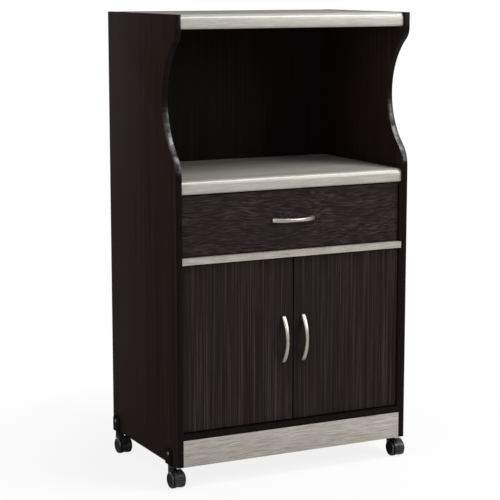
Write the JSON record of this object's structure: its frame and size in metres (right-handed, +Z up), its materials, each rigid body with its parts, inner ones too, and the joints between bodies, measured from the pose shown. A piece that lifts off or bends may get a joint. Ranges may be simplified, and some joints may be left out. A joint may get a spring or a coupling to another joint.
{
  "type": "microwave stand with drawer",
  "caption": "Tall wheeled kitchen stand: open microwave bay with waisted side panels, drawer on roller runners, two-door cupboard with bow handles, and swivelling twin-wheel casters.",
  "frame": {"origin": "on the floor, under the middle of the stand's box with the doors and drawer closed", "axes": "+X to the right seen from the front, -Y towards the front, +Z up"},
  "size_m": [0.632, 0.4096, 1.09],
  "materials": {
    "dark_wood": "espresso wood-grain foil, satin",
    "grey_oak": "grey oak wood-grain foil, satin",
    "satin_nickel": "satin nickel",
    "zinc_steel": "bright zinc",
    "black_plastic": "moulded, low sheen",
    "coated_steel": "epoxy coated",
    "white_nylon": "moulded nylon",
    "hardboard": "printed hardboard, matt",
    "drawer_board": "foil-wrapped board, satin"
  },
  "bodies": {
    "cabinet": {"side_panel_left": "dark_wood", "side_panel_right": "dark_wood", "top_board": "grey_oak", "top_nosing": "grey_oak", "oven_shelf": "grey_oak", "oven_shelf_nosing": "grey_oak", "divider_board": "grey_oak", "bottom_board": "dark_wood", "kick_board": "grey_oak", "rear_rail": "dark_wood", "back_panel_upper": "hardboard", "back_panel_lower": "hardboard", "cupboard_shelf": "dark_wood", "shelf_pins": "zinc_steel", "cam_locks": "zinc_steel", "cabinet_runners": "coated_steel", "hinge_arms": "zinc_steel", "caster_screws": "zinc_steel", "caster_front_left_bracket": "black_plastic", "caster_front_right_bracket": "black_plastic", "caster_rear_left_bracket": "black_plastic", "caster_rear_right_bracket": "black_plastic"},
    "drawer": {"drawer_front": "dark_wood", "drawer_side_left": "drawer_board", "drawer_side_right": "drawer_board", "drawer_back": "drawer_board", "drawer_bottom": "hardboard", "drawer_handle": "satin_nickel", "drawer_handle_screws": "zinc_steel", "drawer_runners": "coated_steel"},
    "cabinet_rollers": {"cabinet_rollers": "white_nylon"},
    "drawer_rollers": {"drawer_rollers": "white_nylon"},
    "door_left": {"door_left": "dark_wood", "door_handle_left": "satin_nickel", "door_handle_screws_left": "zinc_steel", "hinge_cups_left": "zinc_steel"},
    "door_right": {"door_right": "dark_wood", "door_handle_right": "satin_nickel", "door_handle_screws_right": "zinc_steel", "hinge_cups_right": "zinc_steel"},
    "caster_front_left": {"caster_front_left_hood": "black_plastic", "caster_front_left_stem": "zinc_steel", "caster_front_left_axle": "zinc_steel"},
    "caster_front_left_wheel_left": {"caster_front_left_wheel_left": "black_plastic"},
    "caster_front_left_wheel_right": {"caster_front_left_wheel_right": "black_plastic"},
    "caster_front_right": {"caster_front_right_hood": "black_plastic", "caster_front_right_stem": "zinc_steel", "caster_front_right_axle": "zinc_steel"},
    "caster_front_right_wheel_left": {"caster_front_right_wheel_left": "black_plastic"},
    "caster_front_right_wheel_right": {"caster_front_right_wheel_right": "black_plastic"},
    "caster_rear_left": {"caster_rear_left_hood": "black_plastic", "caster_rear_left_stem": "zinc_steel", "caster_rear_left_axle": "zinc_steel"},
    "caster_rear_left_wheel_left": {"caster_rear_left_wheel_left": "black_plastic"},
    "caster_rear_left_wheel_right": {"caster_rear_left_wheel_right": "black_plastic"},
    "caster_rear_right": {"caster_rear_right_hood": "black_plastic", "caster_rear_right_stem": "zinc_steel", "caster_rear_right_axle": "zinc_steel"},
    "caster_rear_right_wheel_left": {"caster_rear_right_wheel_left": "black_plastic"},
    "caster_rear_right_wheel_right": {"caster_rear_right_wheel_right": "black_plastic"}
  },
  "joints": [
    {"name": "drawer_slide", "type": "slide", "parent": "cabinet", "child": "drawer", "axis": [0, -1, 0], "range_m": [0, 0.25]},
    {"name": "cabinet_roller_turn", "type": "hinge", "parent": "cabinet", "child": "cabinet_rollers", "pos_m": [0, -0.14725, 0.5567], "axis": [1, 0, 0], "range_deg": [0, 1594]},
    {"name": "drawer_roller_turn", "type": "hinge", "parent": "drawer", "child": "drawer_rollers", "pos_m": [0, 0.16275, 0.5579], "axis": [1, 0, 0], "range_deg": [0, 1594]},
    {"name": "door_left_hinge", "type": "hinge", "parent": "cabinet", "child": "door_left", "pos_m": [-0.2775, -0.17335, 0.329], "axis": [0, 0, -1], "range_deg": [0, 95]},
    {"name": "door_right_hinge", "type": "hinge", "parent": "cabinet", "child": "door_right", "pos_m": [0.2775, -0.17335, 0.329], "axis": [0, 0, 1], "range_deg": [0, 95]},
    {"name": "caster_front_left_swivel", "type": "hinge", "parent": "cabinet", "child": "caster_front_left", "pos_m": [-0.2975, -0.14125, 0.05], "axis": [0, 0, 1], "continuous": true},
    {"name": "caster_front_left_wheel_left_spin", "type": "hinge", "parent": "caster_front_left", "child": "caster_front_left_wheel_left", "pos_m": [-0.2975, -0.16325, 0.02], "axis": [1, 0, 0], "continuous": true},
    {"name": "caster_front_left_wheel_right_spin", "type": "hinge", "parent": "caster_front_left", "child": "caster_front_left_wheel_right", "pos_m": [-0.2975, -0.16325, 0.02], "axis": [1, 0, 0], "continuous": true},
    {"name": "caster_front_right_swivel", "type": "hinge", "parent": "cabinet", "child": "caster_front_right", "pos_m": [0.2975, -0.14125, 0.05], "axis": [0, 0, 1], "continuous": true},
    {"name": "caster_front_right_wheel_left_spin", "type": "hinge", "parent": "caster_front_right", "child": "caster_front_right_wheel_left", "pos_m": [0.2975, -0.16325, 0.02], "axis": [1, 0, 0], "continuous": true},
    {"name": "caster_front_right_wheel_right_spin", "type": "hinge", "parent": "caster_front_right", "child": "caster_front_right_wheel_right", "pos_m": [0.2975, -0.16325, 0.02], "axis": [1, 0, 0], "continuous": true},
    {"name": "caster_rear_left_swivel", "type": "hinge", "parent": "cabinet", "child": "caster_rear_left", "pos_m": [-0.2975, 0.18175, 0.05], "axis": [0, 0, 1], "continuous": true},
    {"name": "caster_rear_left_wheel_left_spin", "type": "hinge", "parent": "caster_rear_left", "child": "caster_rear_left_wheel_left", "pos_m": [-0.2975, 0.15975, 0.02], "axis": [1, 0, 0], "continuous": true},
    {"name": "caster_rear_left_wheel_right_spin", "type": "hinge", "parent": "caster_rear_left", "child": "caster_rear_left_wheel_right", "pos_m": [-0.2975, 0.15975, 0.02], "axis": [1, 0, 0], "continuous": true},
    {"name": "caster_rear_right_swivel", "type": "hinge", "parent": "cabinet", "child": "caster_rear_right", "pos_m": [0.2975, 0.18175, 0.05], "axis": [0, 0, 1], "continuous": true},
    {"name": "caster_rear_right_wheel_left_spin", "type": "hinge", "parent": "caster_rear_right", "child": "caster_rear_right_wheel_left", "pos_m": [0.2975, 0.15975, 0.02], "axis": [1, 0, 0], "continuous": true},
    {"name": "caster_rear_right_wheel_right_spin", "type": "hinge", "parent": "caster_rear_right", "child": "caster_rear_right_wheel_right", "pos_m": [0.2975, 0.15975, 0.02], "axis": [1, 0, 0], "continuous": true}
  ],
  "couplings": [
    {"joint": "cabinet_roller_turn", "follows": "drawer_slide", "rad_per_m": 111.11},
    {"joint": "drawer_roller_turn", "follows": "drawer_slide", "rad_per_m": 111.11}
  ]
}
